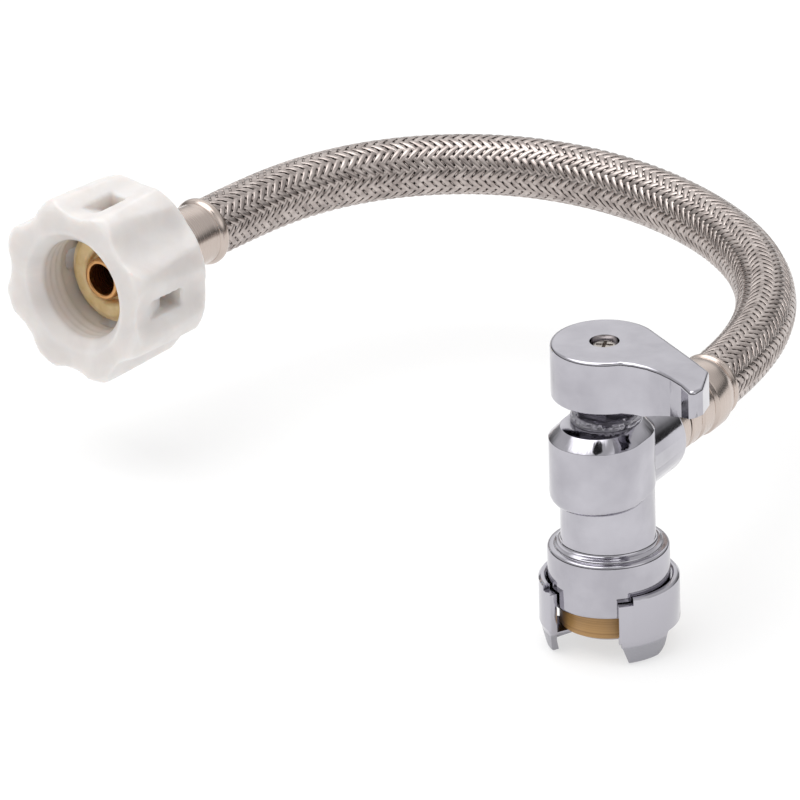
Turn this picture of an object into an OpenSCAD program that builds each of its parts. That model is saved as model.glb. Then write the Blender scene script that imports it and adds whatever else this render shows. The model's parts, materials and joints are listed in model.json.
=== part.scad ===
// Quarter-turn angle stop valve with a push-fit inlet, a snap-on release clip and
// an attached braided supply hose that ends in a moulded ballcock coupling nut.
// Millimetres. +Z runs up the inlet axis and the outlet points along +Y. The origin
// is the tube stop, the blind end of the inlet socket. The valve is drawn closed.

/* [Inlet] */
// Outside diameter of the supply tube that pushes in
tube_d = 15.9; // [15.5:0.1:16.3]
// Outside radius of the push-fit cup
cup_r = 13.9; // [13.7:0.1:14.2]
// Length of the cup below the tube stop
cup_depth = 18; // [17.6:0.2:20]
// Length of the release collar that shows below the cup
collar_show = 6; // [5:0.5:8]
// Travel of the release collar and clip
release_travel = 2.4; // [1:0.1:2.4]

/* [Body] */
// Radius of the neck above the cup
neck_r = 10.8; // [10.4:0.1:11]
// Radius of the two round ends of the ball chamber
chamber_r = 11; // [10.8:0.1:12]
// How far the chamber reaches back, away from the outlet
chamber_back = 4.3; // [2:0.1:7]
// Height of the chamber's underside
chamber_low = 7; // [6:0.5:8]
// Height of the flat on top of the body
body_top = 26; // [26:0.5:26]
// Size of the bevel round the top of the chamber
bevel = 2.7; // [1:0.1:2.8]
// Height of the outlet axis
outlet_z = 14.5; // [14.5:0.5:14.5]
// Radius of the outlet boss
boss_r = 10; // [8:0.5:10.5]
// Distance of the outlet boss's face from the inlet axis
boss_end = 20; // [18:0.5:21]

/* [Handle] */
// Radius of the round hub
hub_r = 12.4; // [12:0.1:14]
// Distance of the lever's tip from the stem
lever_reach = 34.5; // [32:0.5:38]
// Height of the handle's underside
handle_low = 32; // [32:0.5:33]
// Height of the handle's top
handle_top = 45; // [44:0.5:46]
// Thickness of the lever at its tip
tip_thick = 6.5; // [5:0.5:8]
// Direction of the closed lever, from +X towards +Y
lever_turn = -17; // [-25:1:0]

/* [Hose] */
// Outside diameter of the stainless braid
braid_d = 14; // [13.6:0.1:14]
// Outside diameter of the inner tube
liner_d = 11.2; // [11:0.1:11.2]
// Bore of the inner tube
liner_bore = 9.5; // [9.4:0.1:9.6]

/* [Coupling nut] */
// Radius over the nut's lobes
nut_r = 22.3; // [21.5:0.1:23]
// Length of the nut
nut_long = 24.5; // [24.5:0.5:24.5]
// Number of finger lobes, a multiple of four
lobes = 8; // [8:4:12]
// Depth of the valleys between the lobes
valley = 3.1; // [1:0.1:3.5]
// Crest radius of the nut's inside thread
thread_r = 11.9; // [11.8:0.1:12]
// Turn of the nut about its own axis
nut_turn = 20; // [0:1:45]

/* [Hidden] */
$fn = 72;
cup_low = -cup_depth;
collar_low = cup_low - collar_show;
socket_r = tube_d / 2 + 0.1;
ball_r = 7.5;
chamber_bore = 7.75;
outlet_bore = 5.9;
stem_r = 4;
stem_bore = stem_r + 0.06;
clip_in = cup_r + 0.4;
clip_out = clip_in + 1.7;
clip_turn = -85;
ear_start = 32;
ear_sweep = 116;
tongue_start = 34;
tongue_sweep = 46;
lug_turn = 120;

// The hose leaves the valve's ferrule at hose_start and ends in the nut's ferrule
// at hose_end, from where the tail fitting and the nut run along nut_heading.
hose_start = [0, 50];
hose_end = [-144.6, 70.9];
nut_heading = 258;
nut_back = 21.5;
nut_mouth = nut_back + nut_long;
ROUTE = [
    [0, 38], [0, 50.7], [-0.8, 63.4], [-3.1, 75.9], [-7.4, 87.9], [-13.6, 99],
    [-21.6, 109], [-31, 117.5], [-41.7, 124.5], [-53.2, 130], [-65.3, 133.8],
    [-77.9, 135.7], [-90.6, 135.4], [-103, 132.5], [-114.4, 126.9], [-124.4, 119],
    [-132.3, 109.1], [-138, 97.7], [-141.6, 85.5], [-144.2, 73], [-146.8, 60.5]
];

// Points of an arc about c, from angle a to angle b
function arc(c, r, a, b, n = 6) =
    [for (i = [0:n]) c + r * [cos(a + (b - a) * i / n), sin(a + (b - a) * i / n)]];

// Solid of revolution about Z from a list of [radius, height]
module turned(points) {
    rotate_extrude() polygon(points);
}

// Ring about Z with a square section
module ring(r_in, r_out, low, high) {
    turned([[r_in, low], [r_out, low], [r_out, high], [r_in, high]]);
}

// Rubber ring about Z with a round section
module oring(mid_r, thick_r, height) {
    translate([0, 0, height]) rotate_extrude() translate([mid_r, 0]) circle(thick_r);
}

// Places a child drawn along +Z on the outlet axis, which runs along +Y
module on_outlet() {
    translate([0, 0, outlet_z]) rotate([-90, 0, 0]) children();
}

// Places a child drawn along +Z on the tail fitting's axis, from the end of the hose
module on_tail() {
    translate([hose_end.x, hose_end.y, outlet_z]) rotate([0, 90, nut_heading]) children();
}

// Places a child drawn with its lever along +X at the closed position
module on_lever() {
    rotate(lever_turn) children();
}

/* Valve body and its seals */

// Upright half section of the ball chamber: round below, bevelled on top
function chamber_half() = concat(
    [[0, chamber_low]],
    arc([chamber_r - 3, chamber_low + 3], 3, -90, 0),
    [[chamber_r, body_top - bevel], [chamber_r - bevel, body_top], [0, body_top]]
);

module chamber_blank() {
    turned(chamber_half());
    translate([0, -chamber_back, 0]) turned(chamber_half());
    rotate([90, 0, 0]) linear_extrude(chamber_back) union() {
        polygon(chamber_half());
        mirror([1, 0]) polygon(chamber_half());
    }
}

// Cup, its rolled shoulder and the neck, turned in one piece
module cup_blank() {
    turned(concat(
        [[0, cup_low]],
        arc([cup_r - 0.8, cup_low + 0.8], 0.8, -90, 0, 4),
        arc([cup_r - 0.9, -5.7], 0.9, 0, 90, 4),
        arc([cup_r - 1.95, -4.8], 0.5, 0, 80, 4),
        arc([neck_r + 0.9, -3.1], 0.9, 270, 180, 4),
        [[neck_r, chamber_low + 2], [0, chamber_low + 2]]
    ));
}

module boss_blank() {
    on_outlet() turned(concat(
        [[0, 0], [boss_r, 0]],
        arc([boss_r - 1.4, boss_end - 1.4], 1.4, 0, 90, 5),
        [[0, boss_end]]
    ));
}

// Stepped hole up the inlet axis: collar bore, seal bore, socket, waterway, chamber
module inlet_hole() {
    turned([
        [0, cup_low - 1], [11.7, cup_low - 1], [11.7, -12.5], [10.55, -12.5],
        [10.55, -6], [socket_r, -6], [socket_r, 0], [6, 0], [6, 5],
        [chamber_bore, 5], [chamber_bore, body_top + 1], [0, body_top + 1]
    ]);
}

module valve_body() {
    color([0.80, 0.79, 0.81])
    difference() {
        union() {
            cup_blank();
            chamber_blank();
            boss_blank();
        }
        inlet_hole();
        on_outlet() cylinder(h = boss_end + 1, r = outlet_bore);
    }
}

// The nut that closes the chamber: threaded skirt, flange, hexagon and stop lug
module bonnet_nut() {
    color([0.78, 0.77, 0.79])
    difference() {
        union() {
            turned([
                [0, 22.4], [7.3, 22.4], [7.7, 22.8], [7.7, 26.02], [8.1, 26.02],
                [8.1, 27.1], [7.1, 28.2], [0, 28.2]
            ]);
            translate([0, 0, 28.1]) cylinder(h = 3.4, r = 7, $fn = 6);
            rotate(lug_turn - 10) rotate_extrude(angle = 20)
                polygon([[6, 28], [9.7, 28], [9.7, 35.4], [8.2, 35.4], [8.2, 31.5], [6, 31.5]]);
        }
        cylinder(h = 25.2, r = 6.3);
        cylinder(h = 33, r = stem_bore);
    }
}

module thrust_washer() {
    color("white") ring(stem_bore, 6.2, 24.4, 25.1);
}

// Sealing ring with a spherical face that the ball turns in, drawn along +Z
module seat(r_out, bore, low, high, ball_at) {
    difference() {
        ring(bore, r_out, low, high);
        translate([0, 0, ball_at]) sphere(ball_r + 0.06);
    }
}

module inlet_seat() {
    color("white") seat(chamber_bore - 0.1, 4.3, 5.05, 8.6, outlet_z);
}

module outlet_seat() {
    color("white") on_outlet() seat(outlet_bore - 0.1, 3.4, 4.2, 9.6, 0);
}

module inlet_oring() {
    color([0.12, 0.12, 0.12]) oring(9.2, 1.3, -7.35);
}

module oring_protector() {
    color([0.9, 0.88, 0.82]) ring(8.15, 10.5, -10.4, -8.9);
}

// Flat spring ring whose teeth lean inwards and up, and bite the tube
module grab_ring() {
    teeth = 12;
    color([0.7, 0.7, 0.72]) union() {
        ring(9.6, 11.6, -12.95, -12.6);
        for (i = [0:teeth - 1]) rotate(i * 360 / teeth) rotate_extrude(angle = 19)
            polygon([[9.75, -12.95], [9.75, -12.6], [8.1, -10.95], [7.95, -11.2]]);
    }
}

module grab_ring_retainer() {
    color([0.75, 0.62, 0.35]) ring(10.2, 11.65, -15.5, -13);
}

/* Ball, stem and handle */

// Ball with an L-shaped waterway: up from the inlet and out of one side
module ball() {
    color([0.85, 0.85, 0.87])
    difference() {
        translate([0, 0, outlet_z]) sphere(ball_r);
        translate([0, 0, outlet_z - 10]) cylinder(h = 10, r = 3.8);
        translate([0, 0, outlet_z]) sphere(3.8);
        translate([0, 0, outlet_z]) rotate([0, 90, 0]) cylinder(h = 10, r = 3.4);
        translate([-10, -1.35, 19.6]) cube([20, 2.7, 5]);
    }
}

// Spindle: tang in the ball's slot, thrust flange, sealed shaft and square end
module stem() {
    color([0.82, 0.72, 0.42])
    difference() {
        union() {
            intersection() {
                translate([-3.9, -1.3, 19.7]) cube([7.8, 2.6, 3]);
                cylinder(h = 30, r = 3.9);
            }
            ring(0, 5.8, 22.3, 24.3);
            turned([
                [0, 24], [stem_r, 24], [stem_r, 26.4], [3, 26.4], [3, 27.5], [stem_r, 27.5],
                [stem_r, 29.2], [3, 29.2], [3, 30.3], [stem_r, 30.3], [stem_r, 33], [0, 33]
            ]);
            on_lever() translate([-2.8, -2.8, 32.6]) cube([5.6, 5.6, 8.3]);
        }
        translate([0, 0, 33.5]) cylinder(h = 10, r = 1.65);
    }
}

module stem_orings() {
    color([0.12, 0.12, 0.12]) for (z = [26.95, 29.75]) oring(3.53, 0.5, z);
}

// Plan of the lever: it leaves the hub on a tangent and tapers to a blunt tip
module lever_plan() {
    polygon(concat(
        [[0, 0], [2.7, 12.1], [lever_reach - 11, 6.7]],
        arc([lever_reach - 6.9, 3.6], 1.8, 74, 40, 3),
        [[lever_reach - 0.1, -2.4]],
        arc([lever_reach - 1.1, -4.6], 1.2, 10, -100, 4),
        [[29.4, -4.4], [24.8, -3.5], [21, -3.1], [17, -3.3], [13.5, -4.3], [11, -5.7]]
    ));
}

// Moulding pocket under the lever, inside the plan by the wall thickness
module lever_pocket() {
    polygon([[12.5, -2.2], [12.5, 8], [23, 5.2], [27.6, 3.5], [32, -3], [24, -1.7], [17, -1.5]]);
}

module handle() {
    color([0.80, 0.79, 0.82])
    on_lever() difference() {
        translate([0, 0, handle_low]) union() {
            cylinder(h = handle_top - handle_low, r = hub_r);
            linear_extrude(handle_top - handle_low) lever_plan();
        }
        // The underside rises from the hub to the tip
        rotate([90, 0, 0]) linear_extrude(40, center = true) polygon([
            [14.5, handle_low - 1], [14.5, handle_low], [lever_reach, handle_top - tip_thick],
            [lever_reach + 5, handle_top - tip_thick + 1], [lever_reach + 5, handle_low - 1]
        ]);
        difference() {
            union() {
                translate([0, 0, handle_low - 1]) cylinder(h = 5.6, r = hub_r - 1.5);
                translate([0, 0, handle_low - 1]) linear_extrude(handle_top - handle_low - 1)
                    lever_pocket();
            }
            // Stop ribs that meet the bonnet's lug, and a stiffening rib in the lever
            for (turn = [lug_turn + 17.8, lug_turn - 107.8]) rotate(turn - lever_turn)
                translate([7.7, -1, handle_low + 0.3]) cube([6, 2, 8]);
            translate([21, -10, handle_low]) cube([1.3, 20, 20]);
            difference() {
                translate([0, 0, handle_low + 0.3]) cylinder(h = 20, r = 5.6);
                translate([0, 0, handle_low - 1]) cylinder(h = 2.5, r = stem_r + 0.6);
            }
        }
        translate([-2.85, -2.85, handle_low - 1]) cube([5.7, 5.7, 10]);
        translate([0, 0, handle_low - 1]) cylinder(h = 2.4, r = stem_r + 0.4);
        translate([0, 0, handle_low]) cylinder(h = 14, r = 1.75);
        translate([0, 0, handle_top - 3]) cylinder(h = 4, r = 3.45);
    }
}

// Pan-head screw with a cross recess, down in the handle's counterbore
module handle_screw() {
    head_low = handle_top - 2.95;
    color([0.72, 0.70, 0.70])
    difference() {
        turned(concat(
            [[0, head_low - 7.5], [1.2, head_low - 7.5], [1.6, head_low - 7], [1.6, head_low]],
            [[3.2, head_low]],
            arc([2, head_low + 0.9], 1.2, 0, 90, 4),
            [[0, head_low + 2.2]]
        ));
        for (turn = [0, 90]) rotate(turn + 20)
            translate([-1.9, -0.4, head_low + 0.9]) cube([3.8, 0.8, 3]);
    }
}

/* Release clip and collar */

// One ear of the clip: a thick arc of wall with rolled edges, open front and back
module clip_ear() {
    low = collar_low + 0.4;
    high = cup_low + 5.5;
    rotate(ear_start) difference() {
        rotate_extrude(angle = ear_sweep) polygon([
            [clip_in, low], [clip_out - 0.5, low], [clip_out, low + 0.5],
            [clip_out, high - 0.5], [clip_out - 0.5, high], [clip_in + 0.4, high],
            [clip_in, high - 0.4]
        ]);
        // Notch in the top edge at the front end
        translate([0, -1, high - 1.5]) cube([20, 4.4, 3]);
    }
}

// Thumb tongue below an ear: it leans inwards and carries the pusher ring's web
module clip_tongue() {
    low = collar_low + 0.4;
    tip = collar_low - 5;
    difference() {
        rotate(tongue_start) rotate_extrude(angle = tongue_sweep) polygon([
            [clip_in, low + 0.5], [clip_out, low + 0.5], [clip_out - 0.3, low - 0.4],
            [clip_out - 1.5, tip + 0.3], [clip_out - 1.9, tip], [clip_in - 1.6, tip],
            [clip_in - 0.6, low - 2.5]
        ]);
        rotate(tongue_start) translate([8, 0, tip]) rotate([90, 0, 90]) linear_extrude(10)
            polygon([[-2, -1], [2.2, -1], [0.2, 4.5], [-2, 4.5]]);
        rotate(tongue_start + tongue_sweep) translate([8, 0, tip]) rotate([90, 0, 90])
            linear_extrude(10) difference() {
                translate([-3.4, -1]) square([5, 4.4]);
                translate([-3.4, 3.4]) circle(3.4);
            }
    }
    rotate(tongue_start + 2) rotate_extrude(angle = tongue_sweep - 6)
        polygon([
            [9, collar_low - 0.1], [clip_in + 0.2, collar_low - 0.1],
            [clip_in + 0.2, collar_low - 1.3], [9, collar_low - 0.9]
        ]);
}

module release_clip() {
    color([0.80, 0.79, 0.81]) union() {
        for (side = [0, 1]) rotate(clip_turn) mirror([0, side, 0]) {
            clip_ear();
            clip_tongue();
        }
        ring(8.3, 9.4, collar_low - 0.9, collar_low - 0.1);
    }
}

// Acetal collar: pushed up, its nose spreads the teeth and frees the tube
module release_collar() {
    top = cup_low - 0.1;
    color([0.75, 0.59, 0.37]) turned(concat(
        [[8.6, collar_low]],
        arc([11.4 - 0.6, collar_low + 0.6], 0.6, -90, 0, 4),
        [[11.4, top], [10, top], [10, top + 2], [9.4, top + 2.5], [8.15, top + 2.5]],
        [[8.15, collar_low + 0.5]]
    ));
}

/* Outlet fitting */

// Shank that holds the hose: plug in the boss, grooved collar and a barbed spigot
module outlet_nipple() {
    color([0.75, 0.69, 0.66])
    on_outlet() turned(concat(
        [[3.2, 9.7], [outlet_bore - 0.05, 9.7], [outlet_bore - 0.05, 13], [4, 13]],
        [[4, 15.1], [outlet_bore - 0.05, 15.1], [outlet_bore - 0.05, 20.05], [7.9, 20.05]],
        [[8.1, 20.3], [8.1, 24.9], [7.6, 25.4], [5.9, 25.4], [5.9, 25.9], [4.4, 25.9]],
        [for (s = [27.5:3.2:43]) each [[4.2, s], [4.65, s + 0.2], [4.2, s + 3]]],
        [[4.2, 46], [3.2, 46]]
    ));
}

module nipple_oring() {
    color([0.12, 0.12, 0.12]) on_outlet() oring(4.94, 0.9, 14.05);
}

// Crimped sleeve on the valve's end: two narrow bands, then a wide mouth
module ferrule_valve_end() {
    color([0.75, 0.69, 0.66])
    on_outlet() turned([
        [5.7, 26], [7.7, 26], [8.1, 26.4], [8.1, 29.9], [7.6, 30.4], [7.6, 31], [8.2, 31.5],
        [8.2, 36], [7.7, 36.5], [7.7, 37.1], [8.5, 37.7], [8.7, 38.6], [8.7, 43.6],
        [8.5, 45.4], [8.1, 47], [7.6, 48.2], [7.35, 48.7], [7.55, 49.2], [7.55, 49.7],
        [7.35, 50], [7.15, 50], [7.15, 37.8], [5.7, 37]
    ]);
}

/* Hose */

// Ring of a swept tube: n points square to the route at point i
function route_ring(path, i, r, n) =
    let (
        a = path[max(i - 1, 0)],
        b = path[min(i + 1, len(path) - 1)],
        along = (b - a) / norm(b - a),
        side = [along.y, -along.x]
    )
    [for (k = [0:n - 1]) let (turn = 360 * k / n) [
        path[i].x + r * cos(turn) * side.x,
        path[i].y + r * cos(turn) * side.y,
        outlet_z + r * sin(turn)
    ]];

// Hollow tube swept along a level path, as one polyhedron with flat ends
module swept_tube(path, r_out, r_in, n = 12) {
    last = len(path) - 1;
    outer = [for (i = [0:last]) each route_ring(path, i, r_out, n)];
    inner = [for (i = [0:last]) each route_ring(path, i, r_in, n)];
    base = len(outer);
    function at(i, k) = i * n + k % n;
    polyhedron(
        points = concat(outer, inner),
        faces = concat(
            [for (i = [0:last - 1], k = [0:n - 1])
                [at(i, k), at(i, k + 1), at(i + 1, k + 1), at(i + 1, k)]],
            [for (i = [0:last - 1], k = [0:n - 1])
                [base + at(i, k), base + at(i + 1, k), base + at(i + 1, k + 1), base + at(i, k + 1)]],
            [for (k = [0:n - 1]) [at(0, k + 1), at(0, k), base + at(0, k), base + at(0, k + 1)]],
            [for (k = [0:n - 1])
                [at(last, k), at(last, k + 1), base + at(last, k + 1), base + at(last, k)]]
        ),
        convexity = 6
    );
}

module hose_braid() {
    color([0.71, 0.67, 0.65]) swept_tube(ROUTE, braid_d / 2, liner_d / 2 + 0.25);
}

// The inner tube runs on past both ends of the braid, onto the barbs
module hose_liner() {
    tail = [cos(nut_heading), sin(nut_heading)];
    path = concat([[0, 26.5]], ROUTE, [hose_end + 22 * tail]);
    color([0.86, 0.86, 0.84]) swept_tube(path, liner_d / 2, liner_bore / 2 + 0.1);
}

/* Tail fitting and coupling nut */

// Crimped sleeve on the nut's end: a rolled bead where the braid enters
module ferrule_nut_end() {
    color([0.75, 0.69, 0.66])
    on_tail() turned(concat(
        arc([6.15, 1.6], 1.6, -50, 40, 6),
        [[7.35, 3.2], [7.35, 11.6], [6.7, 12.6], [6.6, 24.6], [5.7, 24.6], [5.7, 12]],
        [[7.15, 11.6]]
    ));
}

// Metal tail: barbed spigot in the hose, collar for the nut and an open snout
module tailpiece() {
    color([0.78, 0.59, 0.35])
    on_tail() turned(concat(
        [[3.7, 1], [4.2, 1]],
        [for (s = [2:3.2:19]) each [[4.65, s + 2.6], [4.2, s + 2.8]]],
        [[4.2, 24.8], [4.9, 24.8], [4.9, 27.3], [9.6, 27.3], [9.6, 28.9], [4.9, 28.9]],
        [[4.9, 36], [4.6, 36.3], [3.9, 36.3], [3.7, 36]]
    ));
}

module cone_washer() {
    color([0.85, 0.72, 0.48])
    on_tail() turned([
        [5, 29], [11.2, 29], [11.6, 29.6], [11.6, 31.6], [11.1, 33.4], [9.4, 34.4],
        [7, 34.4], [6.3, 33.8], [6.1, 32.4], [5, 32.2]
    ]);
}

module slip_ring() {
    color([0.9, 0.9, 0.88]) on_tail() ring(5.1, 11.2, 25.2, 27.2);
}

// Plan of the nut: smooth finger lobes with hollow valleys between them
function nut_plan() = [
    for (a = [0:3:357])
        let (wave = cos(lobes * a))
        (nut_r - valley * (1 - wave) / 2 - 0.35 * (1 - wave * wave)) * [cos(a), sin(a)]
];

// Ramped pocket in a valley, whose deep end opens into the nut as a window
module nut_window() {
    rotate([90, 0, 0]) linear_extrude(4.6, center = true) polygon([
        [nut_r + 1, nut_mouth - 5], [nut_r - valley, nut_mouth - 5],
        [14.2, nut_mouth - 12], [11, nut_mouth - 12], [11, nut_mouth - 16],
        [nut_r + 1, nut_mouth - 16]
    ]);
}

module coupling_nut() {
    color([0.92, 0.91, 0.90])
    on_tail() rotate(nut_turn) difference() {
        intersection() {
            translate([0, 0, nut_back]) linear_extrude(nut_long) polygon(nut_plan());
            turned([
                [0, nut_back], [nut_r - 3.2, nut_back], [nut_r - 1.2, nut_back + 1.8],
                [nut_r, nut_mouth - 1.6], [nut_r - 1.6, nut_mouth], [0, nut_mouth]
            ]);
        }
        // Clearance hole, thread relief, thread and the mouth's lead-in
        turned([
            [0, nut_back - 1], [7.1, nut_back - 1], [7.1, nut_back + 3.6],
            [12.4, nut_back + 3.6], [12.4, nut_mouth - 9.6], [thread_r, nut_mouth - 9.6],
            [thread_r, nut_mouth - 3], [14.1, nut_mouth - 0.4], [14.5, nut_mouth],
            [14.5, nut_mouth + 1], [0, nut_mouth + 1]
        ]);
        for (k = [0:lobes / 2 - 1]) rotate((2 * k + 1.5) * 360 / lobes) nut_window();
    }
}

valve_body();
bonnet_nut();
thrust_washer();
inlet_seat();
outlet_seat();
inlet_oring();
oring_protector();
grab_ring();
grab_ring_retainer();
outlet_nipple();
nipple_oring();
ferrule_valve_end();
hose_liner();
hose_braid();
ferrule_nut_end();
tailpiece();
cone_washer();
slip_ring();
coupling_nut();
handle();
handle_screw();
stem();
ball();
stem_orings();
release_clip();
release_collar();
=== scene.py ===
"""A quarter-turn angle stop valve with a push-fit inlet and a braided supply hose."""

import json
import math

import bmesh
import bpy
import numpy as np
from mathutils import Matrix, Quaternion, Vector

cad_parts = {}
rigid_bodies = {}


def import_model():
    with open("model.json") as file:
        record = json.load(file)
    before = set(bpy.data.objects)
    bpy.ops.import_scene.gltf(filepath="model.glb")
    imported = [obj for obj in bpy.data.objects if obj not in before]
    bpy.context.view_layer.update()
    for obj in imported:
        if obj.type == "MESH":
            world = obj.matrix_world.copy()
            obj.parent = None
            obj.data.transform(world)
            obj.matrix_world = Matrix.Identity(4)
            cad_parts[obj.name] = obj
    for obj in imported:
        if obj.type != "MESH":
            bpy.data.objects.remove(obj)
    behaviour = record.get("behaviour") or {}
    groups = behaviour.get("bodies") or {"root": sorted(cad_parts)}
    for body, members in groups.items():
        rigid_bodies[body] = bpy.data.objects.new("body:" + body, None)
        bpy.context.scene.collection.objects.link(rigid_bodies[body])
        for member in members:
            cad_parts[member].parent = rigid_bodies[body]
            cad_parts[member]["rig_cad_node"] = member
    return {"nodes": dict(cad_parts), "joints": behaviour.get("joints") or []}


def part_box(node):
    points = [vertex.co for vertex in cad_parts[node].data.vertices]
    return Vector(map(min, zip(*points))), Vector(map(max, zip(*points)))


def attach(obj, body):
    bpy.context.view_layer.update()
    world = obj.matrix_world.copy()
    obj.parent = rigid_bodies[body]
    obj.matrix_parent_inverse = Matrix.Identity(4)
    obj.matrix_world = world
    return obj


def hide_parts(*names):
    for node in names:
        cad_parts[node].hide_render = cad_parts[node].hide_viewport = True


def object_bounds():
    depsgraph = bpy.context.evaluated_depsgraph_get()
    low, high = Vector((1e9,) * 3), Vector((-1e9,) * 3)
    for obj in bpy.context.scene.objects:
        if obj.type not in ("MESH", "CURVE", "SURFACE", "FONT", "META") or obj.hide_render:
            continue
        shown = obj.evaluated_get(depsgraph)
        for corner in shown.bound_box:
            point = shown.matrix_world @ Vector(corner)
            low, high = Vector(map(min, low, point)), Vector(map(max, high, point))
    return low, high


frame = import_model()
node = frame["nodes"]
cad_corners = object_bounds()
mm = 0.001

# ---------------------------------------------------------------- camera
# A long lens stands well back and nearly 25 degrees up, on the side of the closed
# lever, so that the valve is at the lower right and the hose loops behind it.
camera = bpy.data.objects.new("camera", bpy.data.cameras.new("camera"))
bpy.context.scene.collection.objects.link(camera)
bpy.context.scene.camera = camera
standing_back = 8
picture_width = 180.6 * mm
turn, rise, lean = math.radians(30), math.radians(24.6), math.radians(-1.3)
outlet_low, outlet_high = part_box("hose_braid")
outlet_axis = Vector((0, 0, (outlet_low.z + outlet_high.z) / 2))
away = Vector(
    (
        math.sin(turn) * math.cos(rise),
        -math.cos(turn) * math.cos(rise),
        math.sin(rise),
    )
)
level = (-away).to_track_quat("-Z", "Y")
camera.rotation_mode = "QUATERNION"
camera.rotation_quaternion = level @ Quaternion((0, 0, 1), lean)
aim = outlet_axis + camera.rotation_quaternion @ Vector((-46.7 * mm, 14.4 * mm, 0))
camera.location = aim + away * standing_back
camera.data.lens = camera.data.sensor_width * standing_back / picture_width
camera.data.clip_start, camera.data.clip_end = 0.01, 60

# ---------------------------------------------------------------- hose braid
# Sixteen flat bundles of stainless wire wind each way round the inner tube and
# pass over two and under two of the others. The two hands are two meshes, both
# woven straight and then laid along the hose's route.
route = [
    (0, 38), (0, 50.7), (-0.8, 63.4), (-3.1, 75.9), (-7.4, 87.9), (-13.6, 99),
    (-21.6, 109), (-31, 117.5), (-41.7, 124.5), (-53.2, 130), (-65.3, 133.8),
    (-77.9, 135.7), (-90.6, 135.4), (-103, 132.5), (-114.4, 126.9), (-124.4, 119),
    (-132.3, 109.1), (-138, 97.7), (-141.6, 85.5), (-144.2, 73), (-146.8, 60.5),
]  # fmt: skip
hose_height = outlet_axis.z
braid_radius = 7.0 * mm
bundles = 16
braid_lead = 37 * mm
weave_rise = 0.13 * mm


def smooth_line(points, steps=10):
    """A cubic B-spline that starts and ends on the first and last points."""
    p = np.array([points[0]] * 2 + list(points) + [points[-1]] * 2, float)
    line = []
    for a, b, c, d in zip(p, p[1:], p[2:], p[3:]):
        for t in np.arange(steps) / steps:
            line.append(
                (
                    a * (1 - t) ** 3
                    + b * (3 * t**3 - 6 * t**2 + 4)
                    + c * (-3 * t**3 + 3 * t**2 + 3 * t + 1)
                    + d * t**3
                )
                / 6
            )
    return np.array(line + [p[-1]]) * mm


hose_line = smooth_line(route)
hose_along = np.concatenate(
    [[0], np.cumsum(np.linalg.norm(np.diff(hose_line, axis=0), axis=1))]
)
hose_long = hose_along[-1]
hose_heading = np.gradient(hose_line, hose_along, axis=0)


def lay_on_hose(bm):
    """Bends a straight piece that stands on +Z from 0 to hose_long along the hose."""
    for v in bm.verts:
        s = min(max(v.co.z, 0), hose_long)
        x, y = (np.interp(s, hose_along, hose_line[:, k]) for k in (0, 1))
        dx, dy = (np.interp(s, hose_along, hose_heading[:, k]) for k in (0, 1))
        side = Vector((dy, -dx, 0)).normalized()
        v.co = Vector((x, y, hose_height)) + side * v.co.x + Vector((0, 0, v.co.y))


def mesh_piece(name, bm, body, *stands_for):
    """Turns a finished bmesh into a smooth-shaded object that rides on a body."""
    mesh = bpy.data.meshes.new(name)
    bm.to_mesh(mesh)
    bm.free()
    mesh.shade_smooth()
    piece = bpy.data.objects.new(name, mesh)
    bpy.context.scene.collection.objects.link(piece)
    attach(piece, body)
    if stands_for:
        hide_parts(*stands_for)
    return piece


def woven_hand(name, hand):
    """All the bundles of one hand: a spun ribbon, turned round and raised and sunk."""
    bm = bmesh.new()
    half_wide = 0.93 * mm
    middle = braid_radius - weave_rise - 0.2 * mm
    outline = []
    for k in range(-4, 5):
        u = k / 4
        wire = 0.02 * mm if k % 2 else 0
        outline.append((middle + 0.18 * mm * (1 - u * u) + wire, u * half_wide))
    outline += [(middle - 0.15 * mm, 0.6 * half_wide), (middle - 0.15 * mm, -0.6 * half_wide)]
    ring = [bm.verts.new((x, 0, z)) for x, z in outline]
    loop = [bm.edges.new(pair) for pair in zip(ring, ring[1:] + ring[:1])]
    turns = hose_long / braid_lead
    steps = int(turns * 64)
    bmesh.ops.spin(
        bm, geom=ring + loop, cent=(0, 0, 0), axis=(0, 0, 1), steps=steps,
        dvec=(0, 0, hose_long / steps), angle=hand * turns * 2 * math.pi,
    )  # fmt: skip
    one = bm.verts[:] + bm.edges[:] + bm.faces[:]
    for k in range(1, bundles):
        copy = bmesh.ops.duplicate(bm, geom=one)["geom"]
        bmesh.ops.rotate(
            bm,
            verts=[g for g in copy if isinstance(g, bmesh.types.BMVert)],
            cent=(0, 0, 0),
            matrix=Matrix.Rotation(2 * math.pi * k / bundles, 3, "Z"),
        )
    bmesh.ops.recalc_face_normals(bm, faces=bm.faces)
    for v in bm.verts:
        # Up for one eighth of a half turn and down for the next
        swing = math.cos(bundles / 2 * math.atan2(v.co.y, v.co.x) + math.pi / 4)
        step = hand * weave_rise * max(-1, min(1, 1.35 * swing))
        grow = 1 + step / math.hypot(v.co.x, v.co.y)
        v.co.x *= grow
        v.co.y *= grow
    lay_on_hose(bm)
    return mesh_piece(name, bm, "valve", "hose_braid")


braid_right = woven_hand("braid_right_hand", 1)
braid_left = woven_hand("braid_left_hand", -1)


def linear(hex_colour):
    """An sRGB hex colour as the linear colour that shaders take."""
    parts = [int(hex_colour[i : i + 2], 16) / 255 for i in (1, 3, 5)]
    return [p / 12.92 if p <= 0.04045 else ((p + 0.055) / 1.055) ** 2.4 for p in parts] + [1]


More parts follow.
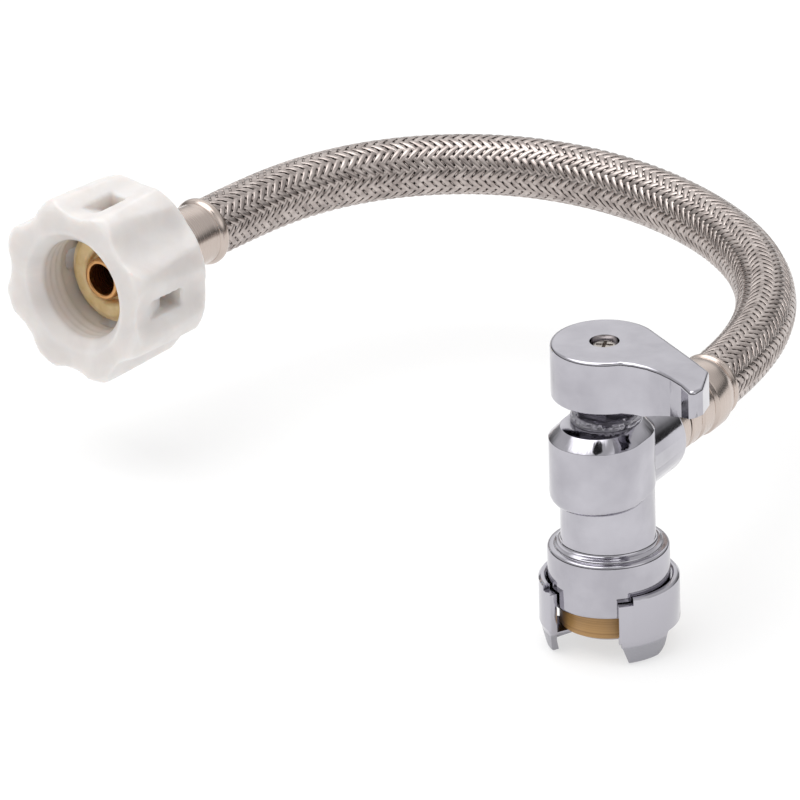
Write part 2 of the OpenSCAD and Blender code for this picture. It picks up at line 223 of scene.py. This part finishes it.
def add_node(tree, kind, settings=None, **inputs):
    """Adds a node, and links or sets its inputs, which are named or given as _0, _1."""
    made = tree.nodes.new(kind)
    for key, value in (settings or {}).items():
        setattr(made, key, value)
    for key, value in inputs.items():
        socket = made.inputs[int(key[1:]) if key[1:].isdigit() else key.replace("_", " ")]
        if isinstance(value, bpy.types.NodeSocket):
            tree.links.new(value, socket)
        else:
            socket.default_value = value
    return made


def finish(name, **shader):
    """A new material, its node tree and its Principled shader."""
    material = bpy.data.materials.new(name)
    material.use_nodes = True
    skin = material.node_tree.nodes["Principled BSDF"]
    for key, value in shader.items():
        skin.inputs[key.replace("_", " ")].default_value = value
    return material, material.node_tree, skin


def dress(material, slot, *pieces):
    """Gives pieces a material; the slot argument is not used."""
    for piece in pieces:
        piece.data.materials.clear()
        piece.data.materials.append(material)


# Drawn stainless wire: bright lengthwise, and each bundle a little different in tone
# from its neighbour, because its wires lie at their own slant.
braid_steel, tree, skin = finish("drawn stainless wire", Metallic=1)
place = add_node(tree, "ShaderNodeTexCoord").outputs["Object"]
patches = add_node(tree, "ShaderNodeTexNoise", Vector=place, Scale=1 / (2.4 * mm), Detail=2)
tone = add_node(tree, "ShaderNodeValToRGB", Fac=patches.outputs["Fac"])
tone.color_ramp.elements[0].position = 0.3
tone.color_ramp.elements[0].color = linear("#9B918D")
tone.color_ramp.elements[1].position = 0.7
tone.color_ramp.elements[1].color = linear("#C9BFBA")
shine = add_node(tree, "ShaderNodeMapRange", Value=patches.outputs["Fac"], _3=0.22, _4=0.34)
tree.links.new(tone.outputs["Color"], skin.inputs["Base Color"])
tree.links.new(shine.outputs["Result"], skin.inputs["Roughness"])
dress(braid_steel, "steel_braid", braid_right, braid_left)

# ---------------------------------------------------------------- inner tube
# The water runs in a grey tube of PVC that shows only as dark specks in the gaps
# between the bundles of wire. It runs on from ferrule to ferrule.
bm = bmesh.new()
bmesh.ops.create_circle(bm, segments=32, radius=5.6 * mm)
bmesh.ops.spin(
    bm, geom=bm.verts[:] + bm.edges[:], cent=(0, 0, 0), axis=(0, 0, 1), angle=0,
    dvec=(0, 0, hose_long / 120), steps=120,
)  # fmt: skip
bmesh.ops.recalc_face_normals(bm, faces=bm.faces)
lay_on_hose(bm)
inner_tube = mesh_piece("inner_tube", bm, "valve", "hose_liner")
# Extruded PVC, dull, with soot-dark smears from the wire
liner_pvc, tree, skin = finish("extruded grey PVC", Roughness=0.55)
place = add_node(tree, "ShaderNodeTexCoord").outputs["Object"]
smears = add_node(tree, "ShaderNodeTexNoise", Vector=place, Scale=1 / (5 * mm), Detail=3)
tone = add_node(tree, "ShaderNodeValToRGB", Fac=smears.outputs["Fac"])
tone.color_ramp.elements[0].color = linear("#7A726E")
tone.color_ramp.elements[1].color = linear("#A29994")
tree.links.new(tone.outputs["Color"], skin.inputs["Base Color"])
dress(liner_pvc, "hose_liner", inner_tube)

# ---------------------------------------------------------------- ferrules
# Thin brass sleeves, nickel plated, are pressed over the braid's ends by the jaws of
# a crimping tool, which leave faint flats. The valve's end is a fitting in two bands
# with a wide mouth, and the nut's end is a cup with a rolled bead.
on_outlet = Matrix.Translation(outlet_axis) @ Matrix.Rotation(math.radians(-90), 4, "X")
nut_joint = next(j for j in frame["joints"] if j["name"] == "nut_spin")
tail_axis = Vector(nut_joint["axis"]).normalized()
on_tail = (
    Matrix.Translation(Vector(nut_joint["pos_m"]) - tail_axis * 30 * mm)
    @ tail_axis.to_track_quat("Z", "Y").to_matrix().to_4x4()
)


def turned(outline, steps=96, jaws=0, crimped=()):
    """A ring turned about +Z from a closed outline of (radius, height) in mm."""
    bm = bmesh.new()
    ring = [bm.verts.new((r * mm, 0, z * mm)) for r, z in outline]
    loop = [bm.edges.new(pair) for pair in zip(ring, ring[1:] + ring[:1])]
    bmesh.ops.spin(
        bm, geom=ring + loop, cent=(0, 0, 0), axis=(0, 0, 1), steps=steps,
        angle=2 * math.pi, use_merge=True,
    )  # fmt: skip
    bmesh.ops.remove_doubles(bm, verts=bm.verts, dist=1e-7)
    bmesh.ops.recalc_face_normals(bm, faces=bm.faces)
    for v in bm.verts:
        if any(low * mm < v.co.z < high * mm for low, high in crimped):
            press = 1 - 0.012 * (0.5 + 0.5 * math.cos(jaws * math.atan2(v.co.y, v.co.x))) ** 3
            v.co.x *= press
            v.co.y *= press
    return bm


def rounded_edges(piece, width, segments=3):
    """Rounds a piece's sharp edges and keeps its flats flat."""
    bevel = piece.modifiers.new("rounded edges", "BEVEL")
    bevel.width = width
    bevel.segments = segments
    bevel.limit_method = "ANGLE"
    bevel.angle_limit = math.radians(28)
    bevel.harden_normals = True


bm = turned(
    [
        (5.7, 26), (7.7, 26), (8.1, 26.4), (8.1, 29.9), (7.6, 30.4), (7.6, 31), (8.2, 31.5),
        (8.2, 36), (7.6, 36.5), (7.6, 37.1), (8.5, 37.7), (8.7, 38.6), (8.7, 42.4),
        (8.45, 43.6), (8, 44.9), (7.6, 45.9), (7.3, 46.4), (7.75, 46.9), (7.75, 47.6),
        (7.5, 48), (7.15, 48), (7.15, 37.8), (5.7, 37),
    ],
    jaws=8, crimped=[(26.1, 30), (31.2, 36.2), (37.9, 46)],
)  # fmt: skip
bm.transform(on_outlet)
valve_ferrule = mesh_piece("ferrule_at_valve", bm, "valve", "ferrule_valve_end")
bm = turned(
    [(3.2, 9.7), (5.85, 9.7), (5.85, 13), (4, 13), (4, 15.1), (5.85, 15.1), (5.85, 20.05),
     (7.9, 20.05), (8.1, 20.3), (8.1, 24.9), (7.6, 25.4), (5.9, 25.4), (5.9, 25.9), (4.2, 25.9),
     (4.2, 46), (3.2, 46)],
)  # fmt: skip
bm.transform(on_outlet)
nipple = mesh_piece("nipple_and_collar", bm, "valve", "outlet_nipple")
bead_round, bead_middle = 1.75, 6.2
bead = [
    (bead_middle + bead_round * math.cos(a), bead_round + bead_round * math.sin(a))
    for a in np.radians(range(-50, 61, 10))
]
bm = turned(
    bead
    + [(7.15, 3.5), (7.2, 3.9), (7.3, 10.6), (7.1, 11.6), (6.7, 12.6), (6.6, 24.6),
       (5.7, 24.6), (5.7, 12), (7.0, 11.2)],
    jaws=8, crimped=[(4, 11)],
)  # fmt: skip
bm.transform(on_tail)
nut_ferrule = mesh_piece("ferrule_at_nut", bm, "valve", "ferrule_nut_end")
for piece in (valve_ferrule, nipple, nut_ferrule):
    rounded_edges(piece, 0.12 * mm, 2)


def rings_round(tree, axis, spacing):
    """A value that changes only along an axis, as tool marks do on a turned piece."""
    place = add_node(tree, "ShaderNodeTexCoord").outputs["Object"]
    along = add_node(
        tree, "ShaderNodeVectorMath", {"operation": "DOT_PRODUCT"},
        _0=place, _1=axis,
    )  # fmt: skip
    return add_node(
        tree, "ShaderNodeTexNoise", {"noise_dimensions": "1D"},
        W=along.outputs["Value"], Scale=1 / spacing, Detail=3,
    ).outputs["Fac"]  # fmt: skip


# Satin nickel over turned brass: warm grey, soft highlights, fine rings from the lathe
for name, axis, pieces in (
    ("satin nickel at the valve", Vector((0, 1, 0)), (valve_ferrule, nipple)),
    ("satin nickel at the nut", tail_axis, (nut_ferrule,)),
):
    nickel, tree, skin = finish(name, Metallic=1, Base_Color=linear("#C8BBB3"))
    rings = rings_round(tree, axis, 0.35 * mm)
    shine = add_node(tree, "ShaderNodeMapRange", Value=rings, _3=0.16, _4=0.34)
    grooves = add_node(tree, "ShaderNodeBump", Height=rings, Strength=0.25, Distance=0.03 * mm)
    tree.links.new(shine.outputs["Result"], skin.inputs["Roughness"])
    tree.links.new(grooves.outputs["Normal"], skin.inputs["Normal"])
    dress(nickel, "nickel_plate", *pieces)

# ---------------------------------------------------------------- valve body
# Forged brass, machined and chrome plated: bevelled ball chamber, neck, rolled
# shoulder and push-fit cup in one piece, with the outlet boss at the side.


def clean_copy(name, piece_name, body, edge, segments=3):
    """A welded copy of a CAD node, with its sharp edges rounded."""
    bm = bmesh.new()
    bm.from_mesh(node[name].data)
    bmesh.ops.remove_doubles(bm, verts=bm.verts, dist=2e-6)
    bmesh.ops.dissolve_limit(
        bm, angle_limit=math.radians(0.6), verts=bm.verts, edges=bm.edges
    )
    piece = mesh_piece(piece_name, bm, body, name)
    rounded_edges(piece, edge, segments)
    return piece


body = clean_copy("valve_body", "chromed_body", "valve", 0.35 * mm)
bonnet = clean_copy("bonnet_nut", "chromed_bonnet", "valve", 0.25 * mm)

# Bright chrome on buffed brass: mirror-like, cool grey, with the faint ripple that
# buffing leaves and here and there a duller touch.
chrome, tree, skin = finish("bright chrome plate", Metallic=1)
place = add_node(tree, "ShaderNodeTexCoord").outputs["Object"]
ripple = add_node(tree, "ShaderNodeTexNoise", Vector=place, Scale=1 / (3.5 * mm), Detail=3)
touches = add_node(tree, "ShaderNodeTexNoise", Vector=place, Scale=1 / (14 * mm), Detail=4)
tone = add_node(tree, "ShaderNodeValToRGB", Fac=touches.outputs["Fac"])
tone.color_ramp.elements[0].position = 0.35
tone.color_ramp.elements[0].color = linear("#ACAAB1")
tone.color_ramp.elements[1].position = 0.65
tone.color_ramp.elements[1].color = linear("#BFBDC4")
shine = add_node(tree, "ShaderNodeMapRange", Value=touches.outputs["Fac"], _3=0.05, _4=0.16)
waves = add_node(
    tree, "ShaderNodeBump", Height=ripple.outputs["Fac"], Strength=0.2, Distance=0.1 * mm
)
tree.links.new(tone.outputs["Color"], skin.inputs["Base Color"])
tree.links.new(shine.outputs["Result"], skin.inputs["Roughness"])
tree.links.new(waves.outputs["Normal"], skin.inputs["Normal"])
dress(chrome, "chrome_plate", body)

# The bonnet's chrome is satin, because a polished one mirrored the tent in crumpled
# patches
satin_chrome, tree, skin = finish(
    "satin chrome plate", Metallic=1, Base_Color=linear("#B4B2B9")
)
rings = rings_round(tree, (0, 0, 1), 0.4 * mm)
shine = add_node(tree, "ShaderNodeMapRange", Value=rings, _3=0.24, _4=0.36)
tree.links.new(shine.outputs["Result"], skin.inputs["Roughness"])
dress(satin_chrome, "chrome_plate", bonnet)

# ---------------------------------------------------------------- handle
# Die-cast zinc lever, chrome plated, held on the stem's square by a screw down in a
# round recess. Its top edge is softly rounded where the mould's halves were buffed.
bm = bmesh.new()
bm.from_mesh(node["handle"].data)
bmesh.ops.remove_doubles(bm, verts=bm.verts, dist=2e-6)
bmesh.ops.dissolve_limit(bm, angle_limit=math.radians(0.6), verts=bm.verts, edges=bm.edges)
handle_low, handle_high = (corner.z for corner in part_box("handle"))
# Each rim: its level, its rounding, and the radius inside which edges are left alone
rims = ((handle_high, 0.9 * mm, 5 * mm), (handle_low, 0.7 * mm, 12 * mm))
for level, round_to, keep_off in rims:
    rim = [
        e
        for e in bm.edges
        if e.calc_face_angle(0) > 1
        and all(abs(v.co.z - level) < 1e-5 and v.co.xy.length > keep_off for v in e.verts)
    ]
    bmesh.ops.bevel(
        bm, geom=rim, offset=round_to, offset_type="OFFSET", segments=5, profile=0.5,
        affect="EDGES", material=-1, clamp_overlap=True,
    )  # fmt: skip
bmesh.ops.remove_doubles(bm, verts=bm.verts, dist=2e-5)
handle = mesh_piece("chromed_handle", bm, "handle", "handle")
handle.data.set_sharp_from_angle(angle=math.radians(30))
for face in handle.data.polygons:
    # The broad flats stay flat beside the rounded edges
    face.use_smooth = face.area < 20 * mm * mm
dress(chrome, "chrome_plate", handle)

# Zinc-plated screw with a cross recess: duller and darker than the chrome round it
screw = clean_copy("handle_screw", "cross_recess_screw", "handle", 0.12 * mm, 2)
zinc, tree, skin = finish("bright zinc plate", Metallic=1, Base_Color=linear("#B9B2AC"))
place = add_node(tree, "ShaderNodeTexCoord").outputs["Object"]
grain = add_node(tree, "ShaderNodeTexNoise", Vector=place, Scale=1 / (0.6 * mm), Detail=3)
shine = add_node(tree, "ShaderNodeMapRange", Value=grain.outputs["Fac"], _3=0.2, _4=0.45)
tree.links.new(shine.outputs["Result"], skin.inputs["Roughness"])
dress(zinc, "zinc_screw", screw)

# ---------------------------------------------------------------- release clip
# Cast and chromed collar with two ears round the cup and two thumb tongues below.
# Squeezing the tongues up slides the tan collar in and frees the tube.
clip = clean_copy("release_clip", "chromed_clip", "release", 0.22 * mm)
# Cast chrome, bright on the ears, and grained on the tongues for the thumbs; the tongues'
# darker colour is painted shade
cast_chrome, tree, skin = finish("cast chrome with grained tongues in painted shade", Metallic=1)
place = add_node(tree, "ShaderNodeTexCoord").outputs["Object"]
height = add_node(tree, "ShaderNodeSeparateXYZ", Vector=place).outputs["Z"]
on_tongue = add_node(
    tree, "ShaderNodeMapRange", Value=height, _1=-24.0 * mm, _2=-24.7 * mm, _3=0.0, _4=1.0
).outputs["Result"]
grain = add_node(tree, "ShaderNodeTexNoise", Vector=place, Scale=1 / (0.5 * mm), Detail=3)
pits = add_node(
    tree, "ShaderNodeBump", Strength=on_tongue, Distance=0.12 * mm, Height=grain.outputs["Fac"]
)
# Painted shade: the tongues' base colour is darker than the ears'
tone = add_node(tree, "ShaderNodeValToRGB", Fac=on_tongue)
tone.color_ramp.elements[0].color = linear("#B7B5BC")
tone.color_ramp.elements[1].color = linear("#A3A2A8")
shine = add_node(tree, "ShaderNodeMapRange", Value=on_tongue, _3=0.1, _4=0.3)
tree.links.new(tone.outputs["Color"], skin.inputs["Base Color"])
tree.links.new(shine.outputs["Result"], skin.inputs["Roughness"])
tree.links.new(pits.outputs["Normal"], skin.inputs["Normal"])
dress(cast_chrome, "chrome_plate", clip)

# ---------------------------------------------------------------- release collar
# Machined from tan acetal rod: waxy, with fine rings from the lathe.
collar = clean_copy("release_collar", "tan_collar", "release", 0.2 * mm)
tan_acetal, tree, skin = finish("turned tan acetal", IOR=1.48, Roughness=0.38)
rings = rings_round(tree, (0, 0, 1), 0.5 * mm)
tone = add_node(tree, "ShaderNodeValToRGB", Fac=rings)
tone.color_ramp.elements[0].position = 0.3
tone.color_ramp.elements[0].color = linear("#A57C49")
tone.color_ramp.elements[1].position = 0.7
tone.color_ramp.elements[1].color = linear("#C79C63")
grooves = add_node(tree, "ShaderNodeBump", Height=rings, Strength=0.3, Distance=0.05 * mm)
tree.links.new(tone.outputs["Color"], skin.inputs["Base Color"])
tree.links.new(grooves.outputs["Normal"], skin.inputs["Normal"])
dress(tan_acetal, "tan_acetal", collar)

# ---------------------------------------------------------------- coupling nut
# Injection-moulded in natural white acetal, with eight finger lobes, a ramped pocket
# in every second valley and a thread inside. The mould leaves every edge soft.
bm = bmesh.new()
bm.from_mesh(node["coupling_nut"].data)
bmesh.ops.remove_doubles(bm, verts=bm.verts, dist=2e-6)
nut = mesh_piece("moulded_nut", bm, "coupling_nut", "coupling_nut")
fine = nut.modifiers.new("fine skin", "REMESH")
fine.mode = "VOXEL"
fine.voxel_size = 0.42 * mm
depsgraph = bpy.context.evaluated_depsgraph_get()
bm = bmesh.new()
bm.from_mesh(nut.evaluated_get(depsgraph).to_mesh())
nut.modifiers.clear()
for _ in range(5):
    bmesh.ops.smooth_vert(
        bm, verts=bm.verts, factor=0.5, use_axis_x=True, use_axis_y=True, use_axis_z=True
    )
to_tail = on_tail.inverted()
bore_radius, pocket_radius, valley_radius = 12.25 * mm, 12.6 * mm, 19.2 * mm
thread_low, thread_high, thread_fade = 36.9 * mm, 42.6 * mm, 0.8 * mm
pocket_low, pocket_high = 29.6 * mm, 41.3 * mm
thread_pitch, half_thread = 1.81 * mm, 0.07 * mm
for v in bm.verts:
    p = to_tail @ v.co
    r = math.hypot(p.x, p.y)
    if r < bore_radius and thread_low < p.z < thread_high:
        # A shallow single-start thread, which fades in and out at its ends
        fade = min(1, (p.z - thread_low) / thread_fade, (thread_high - p.z) / thread_fade)
        turn_of_thread = p.z / thread_pitch * 2 * math.pi - math.atan2(p.y, p.x)
        grow = half_thread * (1 - math.cos(turn_of_thread)) * fade / r
        v.co = on_tail @ Vector((p.x * (1 + grow), p.y * (1 + grow), p.z))
    elif pocket_radius < r < valley_radius - 0.5 * mm and pocket_low < p.z < pocket_high:
        # Raises the pockets' floors by up to two fifths of their depth
        grow = 0.4 * min(1, (r - pocket_radius) / (1.5 * mm)) * (valley_radius / r - 1)
        v.co = on_tail @ Vector((p.x * (1 + grow), p.y * (1 + grow), p.z))
bm.to_mesh(nut.data)
bm.free()
nut.data.shade_smooth()
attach(nut, "coupling_nut")

# Natural acetal: milky, light goes some way in and comes out again, waxy gloss with
# the faint flow marks of the mould
white_acetal, tree, skin = finish(
    "moulded white acetal", IOR=1.48, Subsurface_Weight=1, Subsurface_Scale=5 * mm,
    Subsurface_Radius=(1.0, 0.85, 0.75), Roughness=0.36,
)  # fmt: skip
place = add_node(tree, "ShaderNodeTexCoord").outputs["Object"]
flow = add_node(
    tree, "ShaderNodeTexNoise", Vector=place, Scale=1 / (9 * mm), Detail=3, Distortion=0.6
)
tone = add_node(tree, "ShaderNodeValToRGB", Fac=flow.outputs["Fac"])
tone.color_ramp.elements[0].position = 0.3
tone.color_ramp.elements[0].color = linear("#DDD9D7")
tone.color_ramp.elements[1].position = 0.7
tone.color_ramp.elements[1].color = linear("#E8E5E3")
skin_marks = add_node(tree, "ShaderNodeTexNoise", Vector=place, Scale=1 / (0.8 * mm), Detail=2)
dimples = add_node(
    tree, "ShaderNodeBump", Height=skin_marks.outputs["Fac"], Strength=0.12, Distance=0.05 * mm
)
tree.links.new(tone.outputs["Color"], skin.inputs["Base Color"])
tree.links.new(dimples.outputs["Normal"], skin.inputs["Normal"])
dress(white_acetal, "white_acetal", nut, node["slip_ring"])

# ---------------------------------------------------------------- tail and washer
# The hose ends in a turned tail with an open snout, on which a moulded cone washer
# sits. Both are seen down the nut's mouth.
tail = clean_copy("tailpiece", "turned_tail", "valve", 0.12 * mm, 2)
brass, tree, skin = finish("turned brass", Metallic=1)
rings = rings_round(tree, tail_axis, 0.3 * mm)
tone = add_node(tree, "ShaderNodeValToRGB", Fac=rings)
tone.color_ramp.elements[0].color = linear("#B9814A")
tone.color_ramp.elements[1].color = linear("#DDB07C")
shine = add_node(tree, "ShaderNodeMapRange", Value=rings, _3=0.18, _4=0.4)
tree.links.new(tone.outputs["Color"], skin.inputs["Base Color"])
tree.links.new(shine.outputs["Result"], skin.inputs["Roughness"])
dress(brass, "raw_brass", tail, node["grab_ring_retainer"], node["stem"])

washer = clean_copy("cone_washer", "cone_washer_seen", "valve", 0.3 * mm)
# Pale tan polyethylene, a little see-through at its edge, with a moulded sheen
washer_pe, tree, skin = finish(
    "moulded tan polyethylene", IOR=1.5, Subsurface_Weight=0.5, Subsurface_Scale=2 * mm,
    Subsurface_Radius=(1.0, 0.7, 0.35), Roughness=0.42,
)  # fmt: skip
place = add_node(tree, "ShaderNodeTexCoord").outputs["Object"]
clouds = add_node(tree, "ShaderNodeTexNoise", Vector=place, Scale=1 / (3 * mm), Detail=3)
tone = add_node(tree, "ShaderNodeValToRGB", Fac=clouds.outputs["Fac"])
tone.color_ramp.elements[0].position = 0.3
tone.color_ramp.elements[0].color = linear("#E3C58A")
tone.color_ramp.elements[1].position = 0.7
tone.color_ramp.elements[1].color = linear("#F5DDAE")
tree.links.new(tone.outputs["Color"], skin.inputs["Base Color"])
dress(washer_pe, "washer_rubber", washer)

# ---------------------------------------------------------------- inside the valve
# The ball is chromed brass, its seats and the thrust washer are pressed and sintered
# PTFE, and the seal rings are nitrile rubber. The grab ring is spring steel.
dress(chrome, "chrome_plate", node["ball"])
ptfe, tree, skin = finish("sintered PTFE", IOR=1.38, Roughness=0.5)
place = add_node(tree, "ShaderNodeTexCoord").outputs["Object"]
mottle = add_node(tree, "ShaderNodeTexNoise", Vector=place, Scale=1 / (1.5 * mm), Detail=3)
tone = add_node(tree, "ShaderNodeValToRGB", Fac=mottle.outputs["Fac"])
tone.color_ramp.elements[0].color = linear("#DCDAD4")
tone.color_ramp.elements[1].color = linear("#F0EEEA")
tree.links.new(tone.outputs["Color"], skin.inputs["Base Color"])
ptfe_nodes = ("inlet_seat", "outlet_seat", "thrust_washer", "oring_protector")
dress(ptfe, "ptfe", *(node[n] for n in ptfe_nodes))

rubber, tree, skin = finish("nitrile rubber", IOR=1.52, Base_Color=linear("#1B1B1C"))
place = add_node(tree, "ShaderNodeTexCoord").outputs["Object"]
bloom = add_node(tree, "ShaderNodeTexNoise", Vector=place, Scale=1 / (1.2 * mm), Detail=3)
shine = add_node(tree, "ShaderNodeMapRange", Value=bloom.outputs["Fac"], _3=0.4, _4=0.7)
tree.links.new(shine.outputs["Result"], skin.inputs["Roughness"])
dress(rubber, "seal_rubber", *(node[n] for n in ("inlet_oring", "nipple_oring", "stem_orings")))

spring_steel, tree, skin = finish(
    "blued spring steel", Metallic=1, Base_Color=linear("#A9A9AF")
)
place = add_node(tree, "ShaderNodeTexCoord").outputs["Object"]
scale_marks = add_node(tree, "ShaderNodeTexNoise", Vector=place, Scale=1 / (1 * mm), Detail=4)
shine = add_node(tree, "ShaderNodeMapRange", Value=scale_marks.outputs["Fac"], _3=0.15, _4=0.4)
tree.links.new(shine.outputs["Result"], skin.inputs["Roughness"])
dress(spring_steel, "spring_steel", node["grab_ring"])

# ---------------------------------------------------------------- studio
# A backlit white floor just under the clip's tongues, in a tent that is dim near the
# horizon and bright overhead, with a softer card behind, a small one at the right and
# one small dark spot, so that the chrome has something to show.
bm = bmesh.new()
bmesh.ops.create_grid(bm, size=8)
bmesh.ops.translate(bm, verts=bm.verts, vec=(0, 0, cad_corners[0].z - 0.3 * mm))
floor_mesh = bpy.data.meshes.new("floor")
bm.to_mesh(floor_mesh)
bm.free()
floor = bpy.data.objects.new("floor", floor_mesh)
bpy.context.scene.collection.objects.link(floor)
panel, tree, skin = finish(
    "backlit opal acrylic", Base_Color=linear("#A8A8A8"), Roughness=0.95, Specular_IOR_Level=0,
    Emission_Color=linear("#FFFFFF"), Emission_Strength=0.62,
)  # fmt: skip
floor.data.materials.append(panel)

tent = bpy.data.worlds.new("light tent")
bpy.context.scene.world = tent
tent.use_nodes = True
tree = tent.node_tree
toward = add_node(tree, "ShaderNodeTexCoord").outputs["Generated"]
height = add_node(tree, "ShaderNodeSeparateXYZ", Vector=toward).outputs["Z"]
roof = add_node(tree, "ShaderNodeMapRange", {"interpolation_type": "SMOOTHSTEP"},
                Value=height, _1=0.08, _2=0.5, _3=0.04, _4=0.7)  # fmt: skip
glow = roof.outputs["Result"]
# Each card: the way to it, the cosines at which it is full and at which it ends, its
# strength
cards = (
    (Vector((-0.2, -0.15, 0.93)), 0.95, 0.8, 2.4),  # overhead
    (Vector((-0.457, 0.791, 0.407)), 0.95, 0.7, 0.42),  # behind, seen in level flats
    (Vector((0.75, -0.1, 0.5)), 0.98, 0.9, 0.5),  # at the right
    (Vector((0.204, -0.352, 0.913)), 0.996, 0.98, -3.0),  # the dark spot
)
for direction, full_at, ends_at, strength in cards:
    facing = add_node(tree, "ShaderNodeVectorMath", {"operation": "DOT_PRODUCT"},
                      _0=toward, _1=direction.normalized())  # fmt: skip
    window = add_node(tree, "ShaderNodeMapRange", {"interpolation_type": "SMOOTHSTEP"},
                      Value=facing.outputs["Value"], _1=ends_at, _2=full_at,
                      _3=0.0, _4=strength)  # fmt: skip
    glow = add_node(tree, "ShaderNodeMath", {"operation": "ADD"},
                    _0=glow, _1=window.outputs["Result"]).outputs["Value"]  # fmt: skip
backdrop = tree.nodes["Background"]
backdrop.inputs["Color"].default_value = (1, 1, 1, 1)
glow = add_node(
    tree, "ShaderNodeMath", {"operation": "MAXIMUM"}, _0=glow, _1=0.02
).outputs["Value"]
tree.links.new(glow, backdrop.inputs["Strength"])
bpy.context.scene.view_settings.view_transform = "Standard"
